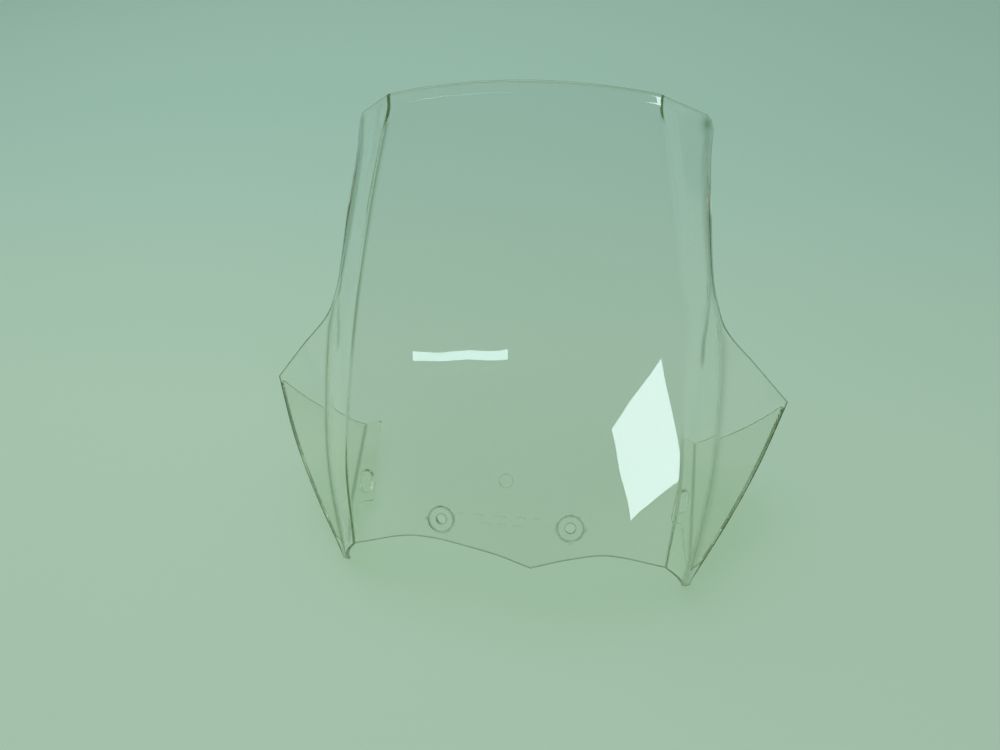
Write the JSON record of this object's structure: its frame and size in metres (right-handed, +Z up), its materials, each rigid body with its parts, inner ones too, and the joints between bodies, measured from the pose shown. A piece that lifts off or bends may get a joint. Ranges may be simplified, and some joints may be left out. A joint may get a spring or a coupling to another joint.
{
  "type": "motorcycle windscreen",
  "caption": "Clear bent motorcycle windscreen with folded side walls, swept lower wings, recessed screw seats and slotted side brackets.",
  "frame": {"origin": "middle of the bounding box's base, on the ground that the screen's two lower horns stand on", "axes": "+X across the screen to the viewer's right, +Y rearward, the way the panel leans, +Z up"},
  "size_m": [0.42, 0.2624, 0.328],
  "materials": {
    "shell_clear": "clear polished polycarbonate, faint green tint",
    "bracket_clear": "clear moulded polycarbonate, faint green tint"
  },
  "bodies": {
    "root": {"screen_shell": "shell_clear", "left_side_bracket": "bracket_clear", "right_side_bracket": "bracket_clear"}
  },
  "joints": []
}
